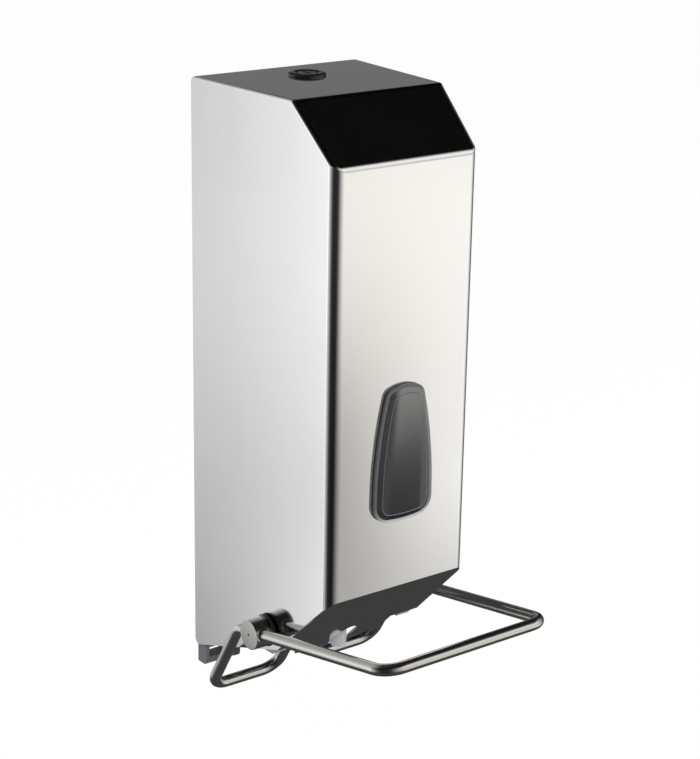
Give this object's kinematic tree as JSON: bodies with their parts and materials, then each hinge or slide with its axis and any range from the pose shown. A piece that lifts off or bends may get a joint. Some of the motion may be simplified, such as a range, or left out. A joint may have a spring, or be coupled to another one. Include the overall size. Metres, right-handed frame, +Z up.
{
  "type": "elbow lever soap dispenser",
  "caption": "Wall soap dispenser: tapered polished steel cover with level window and lock, refillable tank, push-up pump and a bent wire elbow lever on side hubs.",
  "frame": {"origin": "on the wall face of the back plate, on the centre line, half way up the cover", "axes": "+X to the right seen from the front, +Y into the wall, +Z up along the height"},
  "size_m": [0.1122, 0.166, 0.3193],
  "materials": {
    "polished_steel": "mirror polished stainless sheet",
    "satin_steel": "satin electropolished wire and turned parts",
    "plain_steel": "plain zinc plated steel",
    "dark_metal": "dark glossy plated lock",
    "grey_plastic": "moulded purple grey plastic",
    "black_plastic": "moulded black nylon",
    "milky_plastic": "translucent white moulded plastic",
    "tank_plastic": "translucent blow moulded plastic",
    "smoked_clear": "smoked clear moulded lens",
    "rubber": "soft seal"
  },
  "bodies": {
    "base": {"back_plate": "grey_plastic", "latch_keeper": "plain_steel", "keeper_screw_left": "plain_steel", "keeper_screw_right": "plain_steel", "hinge_pin_left": "plain_steel", "hinge_pin_right": "plain_steel", "reservoir": "tank_plastic", "reservoir_cap": "grey_plastic", "cap_seal": "rubber", "pump_nut": "grey_plastic", "pump_seal": "rubber", "pump_cylinder": "milky_plastic", "inlet_valve": "rubber", "pump_spring": "plain_steel", "spout": "milky_plastic", "nozzle": "milky_plastic"},
    "plunger": {"piston_rod": "milky_plastic", "piston_seal": "rubber", "plunger_button": "milky_plastic"},
    "cover": {"cover_shell": "polished_steel", "hinge_bracket": "plain_steel", "window_lens": "smoked_clear", "window_gasket": "rubber", "window_retainer": "grey_plastic", "lock_body": "dark_metal", "lock_nut": "plain_steel", "bearing_block_left": "grey_plastic", "bearing_block_right": "grey_plastic", "pivot_gland_left": "black_plastic", "pivot_gland_right": "black_plastic"},
    "lock": {"lock_core": "dark_metal", "lock_cam": "plain_steel", "cam_screw": "plain_steel"},
    "lever": {"lever_wire": "satin_steel", "hub_left": "satin_steel", "hub_right": "satin_steel", "slip_ring_left": "plain_steel", "slip_ring_right": "plain_steel", "hub_screw_left": "dark_metal", "hub_screw_right": "dark_metal", "pivot_nut_left": "plain_steel", "pivot_nut_right": "plain_steel"}
  },
  "joints": [
    {"name": "cover_open", "type": "hinge", "parent": "base", "child": "cover", "pos_m": [0, -0.004, -0.1578], "axis": [1, 0, 0], "range_deg": [0, 60]},
    {"name": "lever_press", "type": "hinge", "parent": "cover", "child": "lever", "pos_m": [0, -0.0617, -0.1183], "axis": [1, 0, 0], "range_deg": [0, 10]},
    {"name": "plunger_slide", "type": "slide", "parent": "base", "child": "plunger", "axis": [0, 0, 1], "range_m": [0, 0.0045], "stiffness_N_per_m": 500, "springref_m": -0.008, "deforming": ["pump_spring"]},
    {"name": "lock_turn", "type": "hinge", "parent": "cover", "child": "lock", "pos_m": [0, -0.028, 0.145], "axis": [0, 0, 1], "range_deg": [0, 90]}
  ],
  "couplings": [
    {"joint": "plunger_slide", "follows": "lever_press", "m_per_rad": 0.0254}
  ]
}
